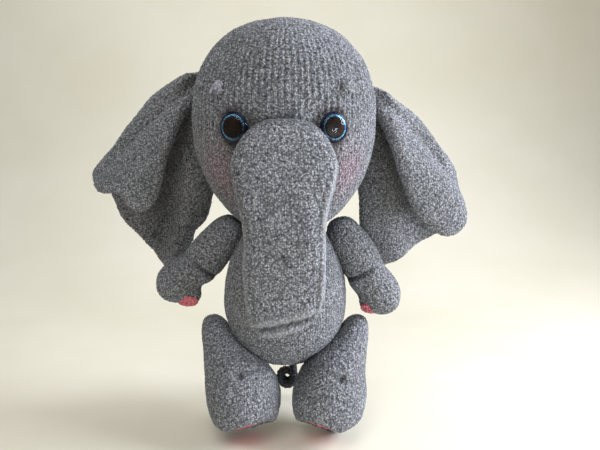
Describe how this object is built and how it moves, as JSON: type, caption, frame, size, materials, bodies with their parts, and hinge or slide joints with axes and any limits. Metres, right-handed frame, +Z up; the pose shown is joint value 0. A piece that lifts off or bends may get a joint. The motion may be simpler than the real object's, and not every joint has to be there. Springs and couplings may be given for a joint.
{
  "type": "stuffed elephant toy",
  "caption": "Knitted grey plush elephant with a big head, folded ears, a hanging trunk, jointed arms and legs, and a curled tail.",
  "frame": {"origin": "centre of the flat seat under the body", "axes": "+Z up, the elephant faces -Y, its own left is +X"},
  "size_m": [0.2604, 0.148, 0.2915],
  "materials": {
    "grey_yarn": "fluffy boucle knit",
    "light_grey_yarn": "loose yarn tuft",
    "dark_grey_yarn": "twisted cord",
    "pink_yarn": "crocheted plush yarn",
    "fibre_filling": "polyester fibre filling",
    "clear_plastic": "clear domed plastic",
    "black_plastic": "gloss black",
    "blue_glitter": "glitter disc",
    "white_plastic": "moulded white plastic"
  },
  "bodies": {
    "torso": {"body_cover": "grey_yarn", "body_stuffing": "fibre_filling", "neck_yarn": "light_grey_yarn", "head_cover": "grey_yarn", "head_stuffing": "fibre_filling", "trunk_root_cover": "grey_yarn", "trunk_root_stuffing": "fibre_filling", "eye_lens_left": "clear_plastic", "eye_pupil_left": "black_plastic", "eye_glitter_left": "blue_glitter", "eye_washer_left": "white_plastic", "brow_left": "light_grey_yarn", "arm_washer_left": "white_plastic", "leg_washer_left": "white_plastic", "eye_lens_right": "clear_plastic", "eye_pupil_right": "black_plastic", "eye_glitter_right": "blue_glitter", "eye_washer_right": "white_plastic", "brow_right": "light_grey_yarn", "arm_washer_right": "white_plastic", "leg_washer_right": "white_plastic"},
    "arm_left": {"arm_cover_left": "grey_yarn", "arm_stuffing_left": "fibre_filling", "arm_pad_left": "pink_yarn", "arm_joint_disc_left": "white_plastic", "arm_lock_left": "white_plastic"},
    "arm_right": {"arm_cover_right": "grey_yarn", "arm_stuffing_right": "fibre_filling", "arm_pad_right": "pink_yarn", "arm_joint_disc_right": "white_plastic", "arm_lock_right": "white_plastic"},
    "leg_left": {"leg_cover_left": "grey_yarn", "leg_stuffing_left": "fibre_filling", "leg_pad_left": "pink_yarn", "leg_joint_disc_left": "white_plastic", "leg_lock_left": "white_plastic"},
    "leg_right": {"leg_cover_right": "grey_yarn", "leg_stuffing_right": "fibre_filling", "leg_pad_right": "pink_yarn", "leg_joint_disc_right": "white_plastic", "leg_lock_right": "white_plastic"},
    "ear_left": {"ear_back_left": "grey_yarn", "ear_front_left": "grey_yarn"},
    "ear_right": {"ear_back_right": "grey_yarn", "ear_front_right": "grey_yarn"},
    "trunk": {"trunk_cover": "grey_yarn", "trunk_stuffing": "fibre_filling"},
    "tail": {"tail": "dark_grey_yarn"}
  },
  "joints": [
    {"name": "shoulder_left", "type": "hinge", "parent": "torso", "child": "arm_left", "pos_m": [0.03556, 0, 0.088], "axis": [-0.9135, 0, -0.4067], "range_deg": [-8, 80]},
    {"name": "shoulder_right", "type": "hinge", "parent": "torso", "child": "arm_right", "pos_m": [-0.03556, 0, 0.088], "axis": [-0.829, 0, 0.5592], "range_deg": [-8, 80]},
    {"name": "hip_left", "type": "hinge", "parent": "torso", "child": "leg_left", "pos_m": [0.04042, 0, 0.024], "axis": [-0.9415, 0, 0.3371], "range_deg": [-25, 40]},
    {"name": "hip_right", "type": "hinge", "parent": "torso", "child": "leg_right", "pos_m": [-0.04042, 0, 0.024], "axis": [-0.9415, 0, -0.3371], "range_deg": [-25, 40]},
    {"name": "ear_flap_left", "type": "hinge", "parent": "torso", "child": "ear_left", "pos_m": [0.063, 0.008, 0.17], "axis": [0, 0, -1], "range_deg": [-8, 20]},
    {"name": "ear_flap_right", "type": "hinge", "parent": "torso", "child": "ear_right", "pos_m": [-0.063, 0.008, 0.17], "axis": [0, 0, 1], "range_deg": [-8, 20]},
    {"name": "trunk_lift", "type": "hinge", "parent": "torso", "child": "trunk", "pos_m": [0, -0.073, 0.113], "axis": [-1, 0, 0], "range_deg": [0, 60]},
    {"name": "tail_swing", "type": "hinge", "parent": "torso", "child": "tail", "pos_m": [0, 0.03697, 0.014], "axis": [0, 1, 0], "range_deg": [-25, 25]}
  ]
}
